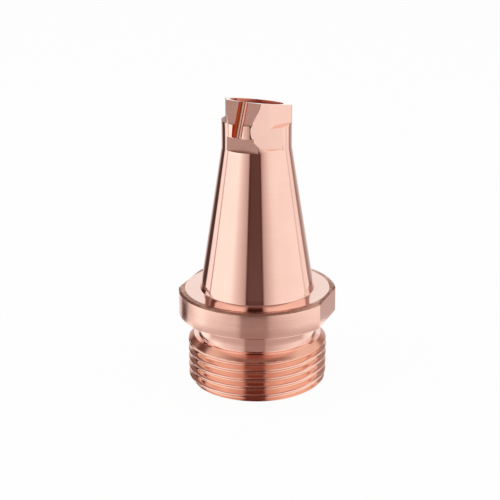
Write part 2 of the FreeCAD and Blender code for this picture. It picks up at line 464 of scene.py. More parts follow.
@dataclass
class Head:
    """Milled head: flats, pocket, ridge, wire groove and sloping mouth."""

    radius: float = HEAD_RADIUS
    bottom: float = HEAD_FOOT
    length: float = 5.0
    weld_height: float = 27.2
    trimmed: float = 0.3
    spare: float = 1.6
    mouth_tilt: float = 9.0
    mouth_azimuth: float = -36.8
    side: Spot = Spot(-86.5, 3.38, 3.0)
    front: Spot = Spot(-27.0, 3.5, 3.0)
    front_lean: float = 5.0
    right: Spot = Spot(41.5, 3.24, 2.62)
    right_roll: float = 6.0
    pocket: Spot = Spot(17.0, 3.38, 0.23)
    pocket_left: float = 1.76
    pocket_right: float = 3.2
    pocket_radius: float = 2.2
    pocket_turn: float = 2.5
    pocket_lean: float = 24.0
    relief: Spot = Spot(-27.0, 3.4, 0.004)
    relief_top: float = 1.55
    groove: Spot = Spot(-35.0, 4.1, 1.55)
    groove_lean: float = 6.3
    groove_skew: float = 9.0
    groove_radius: float = 0.7
    edge: float = 0.012
    edge_angle: float = 22.0
    margin: float = 3.0

    def mouth_height(self) -> float:
        """Height of the mouth plane on the axis."""
        return self.bottom + self.length

    def flat_cut(self, name: str, spot: Spot, high: float, roll: float = 0.0) -> Cut:
        """An upright flat from its step upwards.

        Args:
            name: Name of the cut.
            spot: Place of the flat.
            high: Length of the cut.
            roll: Slope of the step, in degrees.

        Returns:
            The cut, as a rectangle swept upwards.
        """
        azimuth, distance, step = spot
        wide = self.radius
        far = self.radius + self.margin
        outline = np.array([[-wide, -far], [wide, -far], [wide, -distance], [-wide, -distance]])
        origin = np.array([0.0, 0.0, self.bottom + step])
        return Cut(name, outline, turn_matrix(azimuth, 0.0, -roll), origin, 0.0, high)

    def front_cut(self) -> Cut:
        """The front flat, whose distance falls with height by tan(lean), swept sideways.

        Returns:
            The cut.
        """
        azimuth, distance, step = self.front
        far = self.radius + self.margin
        high = distance - self.length * math.tan(math.radians(self.front_lean))
        floor = self.bottom + step
        top = floor + self.length
        outline = np.array([[distance, floor], [far, floor], [far, top], [high, top]])
        turn = turn_matrix(azimuth)
        axes = np.stack([-turn[:, 1], turn[:, 2], -turn[:, 0]], axis=1)
        return Cut("front", outline, axes, np.zeros(3), -self.radius, self.radius)

    def pocket_cut(self) -> Cut:
        """The pocket: upright left edge, leaning above, with a quarter circle at its foot.

        Returns:
            The cut.
        """
        azimuth, distance, step = self.pocket
        floor = self.bottom + step
        top = self.mouth_height() + self.length
        arc = np.radians(np.linspace(180.0, 270.0, 25))
        centre = np.array([self.pocket_radius - self.pocket_left, floor + self.pocket_radius])
        curve = centre + self.pocket_radius * np.stack([np.cos(arc), np.sin(arc)], axis=1)
        turn_height = floor + self.pocket_turn
        shift = (top - turn_height) * math.tan(math.radians(self.pocket_lean))
        rest = np.array([[self.pocket_right, floor], [self.pocket_right, top],
                         [shift - self.pocket_left, top], [-self.pocket_left, turn_height]])
        turn = turn_matrix(azimuth)
        axes = np.stack([turn[:, 0], turn[:, 2], -turn[:, 1]], axis=1)
        return Cut("pocket", np.concatenate([curve, rest]), axes, -turn[:, 1] * distance, 0.0, self.margin,
                   Skin.BROAD)

    def groove_frame(self) -> tuple[tuple[float, ...], tuple[float, ...]]:
        """Where the groove's centre line starts and the direction across it.

        Returns:
            A point in millimetres and a unit vector.
        """
        azimuth, distance, step = self.groove
        origin = -turn_matrix(azimuth)[:, 1] * distance + np.array([0.0, 0.0, self.bottom + step])
        return tuple(origin), tuple(turn_matrix(azimuth, self.groove_lean, self.groove_skew)[:, 0])

    def groove_cut(self) -> Cut:
        """The wire groove: a half circle open outwards, swept along its leaning centre line.

        Returns:
            The cut.
        """
        arc = np.radians(np.linspace(0.0, 180.0, 73))
        curve = self.groove_radius * np.stack([np.cos(arc), np.sin(arc)], axis=1)
        mouth = np.array([[-self.groove_radius, -self.margin], [self.groove_radius, -self.margin]])
        origin = np.array(self.groove_frame()[0])
        axes = turn_matrix(self.groove.azimuth, self.groove_lean, self.groove_skew)
        return Cut("groove", np.concatenate([curve, mouth]), axes, origin, 0.0, self.length + self.margin,
                   Skin.GROOVE)

    def mouth_cut(self) -> Cut:
        """Everything above the sloping mouth plane.

        Returns:
            The cut.
        """
        wide = 2.0 * self.radius
        outline = np.array([[-wide, -wide], [wide, -wide], [wide, wide], [-wide, wide]])
        origin = np.array([0.0, 0.0, self.mouth_height()])
        return Cut("mouth", outline, turn_matrix(self.mouth_azimuth, self.mouth_tilt), origin, 0.0,
                   self.length, Skin.FACED)

    def cuts(self) -> list[Cut]:
        """Every cut in the order in which the mill takes them.

        Returns:
            The cuts.
        """
        tall = self.length + self.margin
        relief = self.flat_cut("relief", self.relief, self.relief_top - self.relief.step)
        right = self.flat_cut("right", self.right, tall, self.right_roll)
        right.skin = Skin.FLAT
        right.floor = Skin.FACED
        return [self.flat_cut("side", self.side, tall), self.front_cut(), relief, self.pocket_cut(), right,
                self.groove_cut(), self.mouth_cut()]

    def blank(self, angles: np.ndarray, passage: Passage, cone: Cone) -> bpy.types.Object:
        """The turned blank of the head: a tube closed at both ends.

        Formula: rings up the outside, across the top, down the bore and across the bottom.

        Args:
            angles: Column azimuths in degrees.
            passage: Sizes of the passage.
            cone: Sizes of the cone below.

        Returns:
            The blank as a mesh object.
        """
        top = self.mouth_height() + self.spare
        low = self.weld_height - self.trimmed
        outside = [(self.radius + (self.bottom - low) * cone.slope(), low), (self.radius, self.bottom)]
        outside += [(self.radius, h) for h in np.linspace(self.bottom, top, 9)[1:]]
        inside = [(passage.mouth_radius, h) for h in np.linspace(top, self.bottom, 9)]
        inside += [(passage.radius_at(low, self.bottom), low)]
        line = np.array(outside + inside)
        radii = np.repeat(line[:, :1], len(angles), axis=1)
        heights = np.repeat(line[:, 1:], len(angles), axis=1)
        points = around(angles, radii, heights).reshape(-1, 3)
        quads = ring_faces(len(line), len(angles))
        columns = len(angles)
        near = np.arange(columns)
        far = (near + 1) % columns
        last = (len(line) - 1) * columns
        closing = np.stack([last + near, last + far, far, near], axis=-1)
        skins = np.full(len(quads) + columns, Skin.TURNED.value)
        skins[(len(outside) - 1) * columns:len(quads)] = Skin.BORE.value
        return mesh_object("head_blank", points, np.concatenate([quads, closing]).tolist(), skins)

    def milled(self, angles: np.ndarray, passage: Passage, cone: Cone) -> bpy.types.Mesh:
        """Cuts the blank and breaks its edges.

        Args:
            angles: Column azimuths in degrees.
            passage: Sizes of the passage.
            cone: Sizes of the cone below.

        Returns:
            The head's mesh, open at the height where it joins the cone.
        """
        blank = self.blank(angles, passage, cone)
        tools = []
        for cut in self.cuts():
            points, faces = prism(cut.outline, cut.axes, cut.origin, cut.low, cut.high)
            tool = mesh_object("cut_" + cut.name, points, faces, cut.skins(len(faces)))
            step = blank.modifiers.new(cut.name, "BOOLEAN")
            step.operation = "DIFFERENCE"
            step.solver = "EXACT"
            step.material_mode = "INDEX"
            step.object = tool
            tools.append(tool)
        for piece in tools + [blank]:
            for slot in Skin:
                piece.data.materials.append(bpy.data.materials[slot.finish()])
        bevel = blank.modifiers.new("edges", "BEVEL")
        bevel.width = self.edge * MM
        bevel.segments = 2
        bevel.limit_method = "ANGLE"
        bevel.angle_limit = math.radians(self.edge_angle)
        bevel.use_clamp_overlap = False
        bevel.loop_slide = True
        bpy.context.view_layer.update()
        graph = bpy.context.evaluated_depsgraph_get()
        mesh = bpy.data.meshes.new_from_object(blank.evaluated_get(graph))
        for spare in tools + [blank]:
            bpy.data.objects.remove(spare, do_unlink=True)
        work = bmesh.new()
        work.from_mesh(mesh)
        everything = list(work.verts) + list(work.edges) + list(work.faces)
        bmesh.ops.bisect_plane(work, geom=everything, dist=1e-8, plane_co=(0.0, 0.0, self.weld_height * MM),
                               plane_no=(0.0, 0.0, 1.0), clear_inner=True)
        work.to_mesh(mesh)
        work.free()
        return mesh


@dataclass
class Nozzle:
    """The whole nozzle: one turned and milled piece of copper."""

    shank: Shank = field(default_factory=Shank)
    flange: Flange = field(default_factory=Flange)
    cone: Cone = field(default_factory=Cone)
    passage: Passage = field(default_factory=Passage)
    head: Head = field(default_factory=Head)
    crease: float = 26.0
    normal_weight: int = 60

    def angles(self) -> np.ndarray:
        """Azimuths of the mesh columns that every ring shares."""
        return column_angles(self.flange.flat_azimuth, self.flange.corner())

    def inner_line(self) -> Outline:
        """Outline of the passage from the head down to the base, with its finishes.

        Returns:
            The outline as (radius, height) rows and the finish of each band.
        """
        way = self.passage
        low = self.head.weld_height
        corners = [(way.radius_at(low, self.head.bottom), low), (way.throat_radius, way.throat_height),
                   (way.throat_radius, way.recess_depth), (way.recess_radius, way.recess_depth),
                   (way.recess_radius, way.recess_chamfer), (way.recess_radius + way.recess_chamfer, 0.0)]
        line = rounded(corners, [0.0, way.throat_round, way.edge_round, way.corner_round, 0.0, 0.0])
        return line, np.full(len(line) - 1, Skin.BORE.value)

    def outer_line(self) -> Outline:
        """Outline from the end of the thread up to the head, with its finishes.

        Returns:
            The outline as (radius, height) rows and the finish of each band.
        """
        shank, flange, cone = self.shank, self.flange, self.cone
        neck = flange.neck_radius
        weld = self.head.weld_height
        cut = flange.chamfer
        end = cone.top_radius + (cone.top - weld) * cone.slope()
        corners = [(shank.radius - shank.runout_chamfer, shank.length), (neck, shank.length),
                   (neck, flange.bottom), (flange.radius, flange.bottom), (flange.radius, flange.top - cut),
                   (flange.radius - cut, flange.top), (cone.foot_radius, cone.foot), (end, weld)]
        line = rounded(corners, [0.0, flange.neck_round, flange.under_round, flange.rounding,
                                 flange.chamfer_round, flange.chamfer_round, cone.foot_round, 0.0])
        climb = np.linspace(0.0, 1.0, cone.rows + 1)[1:, None]
        line = np.concatenate([line[:-1], line[-2] + (line[-1] - line[-2]) * climb])
        step = np.diff(line, axis=0)
        level = (np.abs(step[:, 1]) < 0.3 * np.abs(step[:, 0])) & (line[:-1, 0] > neck - 1.0)
        wide = np.minimum(line[:-1, 0], line[1:, 0]) > flange.radius - 1e-3
        inset = cut + 0.05
        high = (line[:-1, 1] > flange.top - inset) & (line[:-1, 0] > flange.radius - inset)
        skins = np.where(level, Skin.FACED.value, Skin.TURNED.value)
        skins = np.where(wide, Skin.RIM.value, skins)
        return line, np.where(high & ~level & ~wide, Skin.EDGE.value, skins)

    def bands(self, line: np.ndarray, skins: np.ndarray, trim: bool) -> Band:
        """Turns an outline round the axis.

        Args:
            line: Outline as (radius, height) rows.
            skins: Finish of each band.
            trim: Whether the flange's flats are cut.

        Returns:
            Points, quads and the finish of each quad.
        """
        angles = self.angles()
        radii = np.repeat(line[:, :1], len(angles), axis=1)
        if trim:
            in_flange = (line[:, 1] > self.flange.bottom - 1e-6) & (line[:, 1] < self.flange.top + 1e-6)
            wide = in_flange & (line[:, 0] > self.flange.flat_distance - self.flange.flat_reach)
            radii[wide] = self.flange.trim(angles, line[wide, 0])
        heights = np.repeat(line[:, 1:], len(angles), axis=1)
        points = around(angles, radii, heights).reshape(-1, 3)
        return points, ring_faces(len(line), len(angles)), np.repeat(skins, len(angles))

    def base_ring(self) -> Band:
        """Flat ring of the base, from the recess out to the start of the thread.

        Returns:
            Points, quads and the finish of each quad.
        """
        angles = self.angles()
        outer = self.shank.radius_at(angles, np.zeros_like(angles))
        inner = np.full_like(outer, self.passage.recess_radius + self.passage.recess_chamfer)
        share = np.linspace(0.0, 1.0, 4)[:, None]
        radii = inner + (outer - inner) * share
        points = around(angles, radii, np.zeros_like(radii)).reshape(-1, 3)
        quads = ring_faces(len(share), len(angles))
        return points, quads, np.full(len(quads), Skin.FACED.value)

    def build(self) -> bpy.types.Object:
        """Builds every band, welds them to the milled head and sets the shading.

        Returns:
            The finished mesh object.
        """
        parts = [self.bands(*self.inner_line(), trim=False), self.base_ring(),
                 self.bands(*self.outer_line(), trim=True)]
        strip_points, strip_quads = self.shank.strip(self.angles())
        high = strip_points[strip_quads, 2].mean(axis=1) > self.shank.length - self.shank.runout_chamfer
        parts.append((strip_points, strip_quads, np.where(high, Skin.RUNOUT.value, Skin.THREAD.value)))
        offsets = np.cumsum([0] + [len(part[0]) for part in parts[:-1]])
        points = np.concatenate([part[0] for part in parts])
        quads = np.concatenate([part[1] + offset for part, offset in zip(parts, offsets)])
        skins = np.concatenate([part[2] for part in parts])
        piece = mesh_object("nozzle_copper", points, quads.tolist(), skins)
        head = self.head.milled(self.angles(), self.passage, self.cone)
        work = bmesh.new()
        work.from_mesh(piece.data)
        work.from_mesh(head)
        bmesh.ops.remove_doubles(work, verts=work.verts, dist=WELD * MM)
        bmesh.ops.dissolve_degenerate(work, edges=work.edges, dist=SLIVER * MM)
        bmesh.ops.recalc_face_normals(work, faces=work.faces)
        loose = sum(1 for edge in work.edges if not edge.is_manifold)
        work.to_mesh(piece.data)
        work.free()
        bpy.data.meshes.remove(head)
        LOG.info("nozzle mesh: %d faces, %d open edges", len(piece.data.polygons), loose)
        return piece

    def dress(self, piece: bpy.types.Object, finishes: dict[Skin, bpy.types.Material]) -> None:
        """Gives the piece its materials in slot order and smooth shading between sharp edges.

        Args:
            piece: The mesh object.
            finishes: Material of each finish.
        """
        for skin in Skin:
            piece.data.materials.append(finishes[skin])
        piece.data.shade_smooth()
        piece.data.set_sharp_from_angle(angle=math.radians(self.crease))
        self.part_skins(piece.data)
        normals = piece.modifiers.new("face_normals", "WEIGHTED_NORMAL")
        normals.keep_sharp = True
        normals.weight = self.normal_weight

    def part_skins(self, mesh: bpy.types.Mesh) -> None:
        """Keeps the shading apart where a milled face meets another finish.

        Args:
            mesh: The nozzle's mesh.
        """
        plane = {Skin.MILLED.value, Skin.BROAD.value, Skin.FLAT.value}
        milled = plane | {Skin.GROOVE.value}
        work = bmesh.new()
        work.from_mesh(mesh)
        for face in work.faces:
            face.smooth = face.material_index not in plane
        for edge in work.edges:
            sides = {face.material_index for face in edge.link_faces}
            if len(sides) > 1 and sides & milled:
                edge.smooth = False
        work.to_mesh(mesh)
        work.free()


# Shader groups


class Graph:
    """A small helper that places and links shader nodes."""

    def __init__(self, tree: bpy.types.NodeTree) -> None:
        """Works on one node tree."""
        self.tree = tree
        self.count = 0

    def node(self, kind: str, **values: object) -> bpy.types.Node:
        """Adds a node and sets its plain properties.

        Args:
            kind: Type name of the node.
            **values: Properties to set.

        Returns:
            The node.
        """
        made = self.tree.nodes.new(kind)
        made.location = (self.count % 8 * 220, -(self.count // 8) * 260)
        self.count += 1
        for key, value in values.items():
            setattr(made, key, value)
        return made

    def link(self, source: object, target: object) -> None:
        """Joins an output to an input, or sets the input's value where the source is a number.

        Args:
            source: Output socket, number or colour.
            target: Input socket.
        """
        if isinstance(source, bpy.types.NodeSocket):
            self.tree.links.new(source, target)
        else:
            target.default_value = source

    def math(self, operation: str, first: object, second: object = 0.0, clamp: bool = False) -> object:
        """A math node.

        Args:
            operation: Name of the operation.
            first: Socket or number.
            second: Socket or number.
            clamp: Whether the result is held between 0 and 1.

        Returns:
            Its output socket.
        """
        made = self.node("ShaderNodeMath", operation=operation, use_clamp=clamp)
        self.link(first, made.inputs[0])
        self.link(second, made.inputs[1])
        return made.outputs[0]

    def scaled(self, first: object, factor: float, offset: float, clamp: bool = False) -> object:
        """A value times a factor plus an offset, in one math node.

        Args:
            first: Socket or number.
            factor: What it is multiplied by.
            offset: What is added.
            clamp: Whether the result is held between 0 and 1.

        Returns:
            Its output socket.
        """
        made = self.node("ShaderNodeMath", operation="MULTIPLY_ADD", use_clamp=clamp)
        for value, socket in zip((first, factor, offset), made.inputs):
            self.link(value, socket)
        return made.outputs[0]

    def split(self, vector: object) -> tuple[object, object, object]:
        """The x, y and z of a place."""
        made = self.node("ShaderNodeSeparateXYZ")
        self.link(vector, made.inputs[0])
        return tuple(made.outputs)

    def from_axis(self, across: object, along: object) -> object:
        """Distance from the nozzle's axis: the root of x * x + y * y."""
        squares = [self.math("MULTIPLY", side, side) for side in (across, along)]
        return self.math("SQRT", self.math("ADD", *squares))

    def span(self, value: object, start: float, end: float, kind: str = "LINEAR") -> object:
        """A mask that goes from 0 to 1 while the value goes from start to end.

        Args:
            value: Socket or number.
            start: Where the mask is 0.
            end: Where the mask is 1.
            kind: Interpolation in between.

        Returns:
            Its output socket.
        """
        made = self.node("ShaderNodeMapRange", interpolation_type=kind)
        self.link(value, made.inputs["Value"])
        made.inputs["From Min"].default_value = start
        made.inputs["From Max"].default_value = end
        return made.outputs[0]

    def place(self, group: bpy.types.NodeTree, vector: object, **values: object) -> bpy.types.NodeOutputs:
        """Places a shared group in the tree.

        Args:
            group: The shader group.
            vector: Where the group is read.
            **values: Its other inputs, by name.

        Returns:
            The group's outputs.
        """
        made = self.node("ShaderNodeGroup", node_tree=group)
        self.link(vector, made.inputs["Vector"])
        for label, value in values.items():
            self.link(value, made.inputs[label])
        return made.outputs

    def noise(self, vector: object, scale: float, detail: float, rough: float = 0.5) -> object:
        """Noise between about 0.25 and 0.75.

        Args:
            vector: Where it is read.
            scale: Its scale.
            detail: Its detail.
            rough: Its roughness.

        Returns:
            Its factor socket.
        """
        made = self.node("ShaderNodeTexNoise")
        self.link(vector, made.inputs["Vector"])
        made.inputs["Scale"].default_value = scale
        made.inputs["Detail"].default_value = detail
        made.inputs["Roughness"].default_value = rough
        return made.outputs["Fac"]

    def mix(self, factor: object, first: object, second: object) -> object:
        """Mixes two colours.

        Args:
            factor: Share of the second colour.
            first: Colour or socket.
            second: Colour or socket.

        Returns:
            The colour socket.
        """
        made = self.node("ShaderNodeMix", data_type="RGBA")
        self.link(factor, made.inputs["Factor"])
        self.link(first, made.inputs["A"])
        self.link(second, made.inputs["B"])
        return made.outputs["Result"]


def fresh_graph(owner: bpy.types.Material | bpy.types.World) -> Graph:
    """Empties the node tree of a material or a world and starts a graph in it."""
    owner.use_nodes = True
    owner.node_tree.nodes.clear()
    return Graph(owner.node_tree)


def new_group(name: str, inputs: dict[str, tuple[str, object]],
              outputs: dict[str, str]) -> tuple[bpy.types.NodeTree, Graph, bpy.types.Node, bpy.types.Node]:
    """Starts a shader node group with named sockets.

    Args:
        name: Name of the group.
        inputs: Socket type and default of each input.
        outputs: Socket type of each output.

    Returns:
        The group, its graph helper, its input node and its output node.
    """
    group = bpy.data.node_groups.new(name, "ShaderNodeTree")
    for label, (kind, default) in inputs.items():
        socket = group.interface.new_socket(name=label, in_out="INPUT", socket_type=kind)
        if default is not None:
            socket.default_value = default
    for label, kind in outputs.items():
        group.interface.new_socket(name=label, in_out="OUTPUT", socket_type=kind)
    graph = Graph(group)
    return group, graph, graph.node("NodeGroupInput"), graph.node("NodeGroupOutput")


def tool_marks_group() -> bpy.types.NodeTree:
    """Tool marks: noise drawn out along the cut, so that it becomes fine lines.

    Formula: noise of (small x, small y, large z) gives rings on turned walls; noise of the distance
    from the axis gives rings on faced walls; noise of (large x, large y, small z) gives upright lines.

    Returns:
        The node group, which puts out a height and a tone.
    """
    group, graph, given, made = new_group(
        "tool_marks",
        {"Vector": ("NodeSocketVector", None), "Along": ("NodeSocketFloat", 0.04),
         "Across": ("NodeSocketFloat", 9.0), "Facing": ("NodeSocketFloat", 0.0)},
        {"Height": "NodeSocketFloat", "Tone": "NodeSocketFloat"})
    x, y, z = graph.split(given.outputs["Vector"])
    rise = graph.math("MULTIPLY", z, graph.math("SUBTRACT", 1.0, given.outputs["Facing"]))
    out = graph.math("MULTIPLY", graph.from_axis(x, y), given.outputs["Facing"])
    spot = graph.node("ShaderNodeCombineXYZ")
    graph.link(graph.math("MULTIPLY", x, given.outputs["Along"]), spot.inputs[0])
    graph.link(graph.math("MULTIPLY", y, given.outputs["Along"]), spot.inputs[1])
    graph.link(graph.math("MULTIPLY", graph.math("ADD", rise, out), given.outputs["Across"]), spot.inputs[2])
    fine = graph.noise(spot.outputs[0], 1.0, 3.0, 0.6)
    broad = graph.noise(spot.outputs[0], 0.17, 1.0)
    height = graph.math("ADD", graph.math("MULTIPLY", fine, 0.75), graph.math("MULTIPLY", broad, 0.25))
    graph.link(height, made.inputs["Height"])
    contrast = 4.0
    tone = graph.scaled(graph.math("SUBTRACT", height, 0.5), contrast, 0.5, clamp=True)
    graph.link(tone, made.inputs["Tone"])
    return group


def tarnish_group() -> bpy.types.NodeTree:
    """Slow colour change of handled copper: cloudy noise with a few small spots.

    Formula: the cloud is noise stretched in contrast about its middle; a spot falls from 1 at the
    centre of a Voronoi cell to 0 at a ninth of the cell's size.

    Returns:
        The node group, which puts out a cloud mask and a spot mask.
    """
    group, graph, given, made = new_group(
        "tarnish",
        {"Vector": ("NodeSocketVector", None), "Size": ("NodeSocketFloat", 0.25),
         "Spots": ("NodeSocketFloat", 0.5)},
        {"Cloud": "NodeSocketFloat", "Spot": "NodeSocketFloat"})
    sized = graph.node("ShaderNodeVectorMath", operation="SCALE")
    graph.link(given.outputs["Vector"], sized.inputs[0])
    graph.link(given.outputs["Size"], sized.inputs["Scale"])
    cloud = graph.noise(sized.outputs[0], 1.0, 4.0, 0.55)
    contrast = 3.0
    ramp = graph.scaled(graph.math("SUBTRACT", cloud, 0.5), contrast, 0.5, clamp=True)
    graph.link(ramp, made.inputs["Cloud"])
    cells = graph.node("ShaderNodeTexVoronoi")
    graph.link(sized.outputs[0], cells.inputs["Vector"])
    cells.inputs["Scale"].default_value = 5.0
    near = graph.scaled(cells.outputs["Distance"], -9.0, 1.0, clamp=True)
    graph.link(graph.math("MULTIPLY", near, given.outputs["Spots"]), made.inputs["Spot"])
    return group


def edge_wear_group() -> bpy.types.NodeTree:
    """Edges polished bright and inner corners darkened by painted shade, from how convex the mesh is at a
    point.

    Returns:
        The node group, which puts out an edge mask and a painted corner shade mask.
    """
    group, graph, given, made = new_group(
        "edge_wear",
        {"Vector": ("NodeSocketVector", None), "Reach": ("NodeSocketFloat", 14.0)},
        {"Edge": "NodeSocketFloat", "Corner": "NodeSocketFloat"})
    form = graph.node("ShaderNodeNewGeometry")
    over = graph.math("SUBTRACT", form.outputs["Pointiness"], 0.5)
    patch = graph.noise(given.outputs["Vector"], 2.5, 3.0)
    scaled = graph.math("MULTIPLY", graph.math("MULTIPLY", over, given.outputs["Reach"]),
                        graph.math("ADD", patch, 0.5))
    graph.link(graph.math("MAXIMUM", scaled, 0.0, clamp=True), made.inputs["Edge"])
    # painted shade: the more concave the mesh, the darker the inner corner
    graph.link(graph.math("MAXIMUM", graph.math("MULTIPLY", scaled, -1.0), 0.0, clamp=True),
               made.inputs["Corner"])
    return group


def valley_group() -> bpy.types.NodeTree:
    """How far a point lies inside a turned form: mask = (outer - distance from the axis) / depth.

    Returns:
        The node group, which puts out the mask.
    """
    group, graph, given, made = new_group(
        "valley",
        {"Vector": ("NodeSocketVector", None), "Outer": ("NodeSocketFloat", 8.0),
         "Depth": ("NodeSocketFloat", 0.6)},
        {"Mask": "NodeSocketFloat"})
    x, y, _ = graph.split(given.outputs["Vector"])
    inside = graph.math("SUBTRACT", given.outputs["Outer"], graph.from_axis(x, y))
    graph.link(graph.math("DIVIDE", inside, given.outputs["Depth"], clamp=True), made.inputs["Mask"])
    return group


def heat_tint_group() -> bpy.types.NodeTree:
    """Painted shade and reflection in the wire groove: red walls, a dark lip and a thin dark line beside its
    bottom, where the hollow lies in shade and mirrors its own walls and the dark panel in front.

    Formula: u = (p - origin) . across is the place across the groove in millimetres. The near wall is
    painted red below about -0.29 and the far wall over about 0.26, the lip is painted dark below about -0.5,
    and the painted dark line is 1.6 - 14 |u + 0.05|.

    Returns:
        The node group, which puts out a painted wall mask, a painted line mask and a painted lip mask.
    """
    group, graph, given, made = new_group(
        "heat_tint",
        {"Vector": ("NodeSocketVector", None), "Origin": ("NodeSocketVector", None),
         "Across": ("NodeSocketVector", None)},
        {"Wall": "NodeSocketFloat", "Line": "NodeSocketFloat", "Lip": "NodeSocketFloat"})
    away = graph.node("ShaderNodeVectorMath", operation="SUBTRACT")
    graph.link(given.outputs["Vector"], away.inputs[0])
    graph.link(given.outputs["Origin"], away.inputs[1])
    side = graph.node("ShaderNodeVectorMath", operation="DOT_PRODUCT")
    graph.link(away.outputs["Vector"], side.inputs[0])
    graph.link(given.outputs["Across"], side.inputs[1])
    place = side.outputs["Value"]
    # painted shade: the walls turn red where the groove lies in shade and mirrors itself
    near_wall = graph.span(place, -0.24, -0.33, "SMOOTHSTEP")
    far_wall = graph.span(place, 0.22, 0.30, "SMOOTHSTEP")
    graph.link(graph.math("MAXIMUM", near_wall, far_wall), made.inputs["Wall"])
    graph.link(graph.span(place, -0.42, -0.58, "SMOOTHSTEP"), made.inputs["Lip"])
    # painted reflection: a thin dark line where the groove mirrors the dark panel in front
    off = graph.math("ABSOLUTE", graph.math("ADD", place, 0.05))
    graph.link(graph.scaled(off, -14.0, 1.6, clamp=True), made.inputs["Line"])
    return group


@dataclass(frozen=True)
class Tint:
    """Painted shade and reflection in the wire groove: where the groove runs and the painted colours across
    it.
    """

    origin: tuple[float, ...]
    across: tuple[float, ...]
    # painted shade and reflection: red for the shaded walls, dark for the lip in shade and for the line that
    # mirrors the dark panel
    wall: Colour = (0.82, 0.18, 0.06)
    lip: Colour = (0.45, 0.05, 0.02)
    line: Colour = (0.20, 0.06, 0.04)

    def over(self, graph: Graph, group: bpy.types.NodeTree, spot: object, base: object) -> object:
        """Lays the painted groove shade over a colour.

        Args:
            graph: Where the nodes go.
            group: The painted groove shade group.
            spot: Place on the piece, in millimetres.
            base: Colour socket below the painted shade.

        Returns:
            The colour socket with the painted shade laid over it.
        """
        masks = graph.place(group, spot, Origin=self.origin, Across=self.across)
        colour = base
        for label, tone in (("Wall", self.wall), ("Lip", self.lip), ("Line", self.line)):
            colour = graph.mix(masks[label], colour, (*tone, 1.0))
        return colour


@dataclass(frozen=True)
class Copper:
    """One finish of the same copper: colours, gloss and the run of its tool marks.

    Along and across are the scales of the marks' noise round and up the piece, relief is their depth in
    millimetres, tone is how far they darken the colour, and worn scales the polish at edges and the painted
    shade in inner corners. Where inner is set, the colour turns to it over depth, inwards from outer.
    """

    skin: Skin
    light: Colour
    deep: Colour
    marks: Marks
    roughness: float
    spread: float
    relief: float
    along: float
    across: float
    tone: float
    spots: float
    worn: float = 1.0
    inner: Colour | None = None
    outer: float = 8.0
    depth: float = 0.6
    # painted shade and reflection laid over the groove's colour
    tint: Tint | None = None
    spot_share: float = 0.35
    # share of painted shade in inner corners
    corner_share: float = 0.25
    edge_share: float = 0.3
    polished: Colour = (0.98, 0.74, 0.64)

    def material(self, groups: dict[str, bpy.types.NodeTree]) -> bpy.types.Material:
        """Builds the material.

        Args:
            groups: Shared shader groups by name.

        Returns:
            The material, named after its finish.
        """
        made = bpy.data.materials.new(self.skin.finish())
        graph = fresh_graph(made)
        shader = graph.node("ShaderNodeBsdfPrincipled")
        surface = graph.node("ShaderNodeOutputMaterial")
        graph.link(shader.outputs[0], surface.inputs[0])
        where = graph.node("ShaderNodeTexCoord")
        scaled = graph.node("ShaderNodeMapping")
        graph.link(where.outputs["Object"], scaled.inputs["Vector"])
        scaled.inputs["Scale"].default_value = (1.0 / MM, 1.0 / MM, 1.0 / MM)
        spot = scaled.outputs["Vector"]
        facing = 1.0 if self.marks is Marks.FACING else 0.0
        marks = graph.place(groups["tool_marks"], spot, Along=self.along, Across=self.across, Facing=facing)
        tarnish = graph.place(groups["tarnish"], spot, Spots=self.spots)
        graph.link(self.colour(graph, groups, spot, marks, tarnish), shader.inputs["Base Color"])
        gloss = graph.scaled(marks["Tone"], self.spread, self.roughness)
        gloss = graph.math("ADD", gloss, graph.math("MULTIPLY", tarnish["Cloud"], self.spread))
        graph.link(gloss, shader.inputs["Roughness"])
        shader.inputs["Metallic"].default_value = 1.0
        bump = graph.node("ShaderNodeBump")
        bump.inputs["Strength"].default_value = 1.0
        bump.inputs["Distance"].default_value = self.relief * MM
        graph.link(marks["Height"], bump.inputs["Height"])
        graph.link(bump.outputs["Normal"], shader.inputs["Normal"])
        return made

    def colour(self, graph: Graph, groups: dict[str, bpy.types.NodeTree], spot: object,
               marks: bpy.types.NodeOutputs, tarnish: bpy.types.NodeOutputs) -> object:
        """Colour of the finish: light to deep by marks, tarnish and painted corner shade, then polished
        edges, valleys and the painted groove shade.

        Args:
            graph: Where the nodes go.
            groups: Shared shader groups by name.
            spot: Place on the piece, in millimetres.
            marks: Outputs of the tool marks.
            tarnish: Outputs of the tarnish.

        Returns:
            The colour socket.
        """
        wear = graph.place(groups["edge_wear"], spot)
        share = graph.math("ADD", graph.math("MULTIPLY", marks["Tone"], self.tone),
                           graph.math("MULTIPLY", tarnish["Cloud"], self.tone))
        spots = graph.math("MULTIPLY", tarnish["Spot"], self.spot_share)
        share = graph.math("ADD", share, spots, clamp=True)
        # painted shade: inner corners turn towards the deep colour
        corner = graph.math("MULTIPLY", wear["Corner"], self.corner_share * self.worn)
        share = graph.math("ADD", share, corner, clamp=True)
        colour = graph.mix(share, (*self.light, 1.0), (*self.deep, 1.0))
        edge = graph.math("MULTIPLY", wear["Edge"], self.edge_share * self.worn)
        colour = graph.mix(edge, colour, (*self.polished, 1.0))
        if self.inner is not None:
            valley = graph.place(groups["valley"], spot, Outer=self.outer, Depth=self.depth)
            colour = graph.mix(valley["Mask"], colour, (*self.inner, 1.0))
        # painted shade and reflection in the wire groove
        if self.tint is not None:
            colour = self.tint.over(graph, groups["heat_tint"], spot, colour)
        return colour


LIGHT = (0.955, 0.62, 0.52)
DEEP = (0.80, 0.46, 0.36)

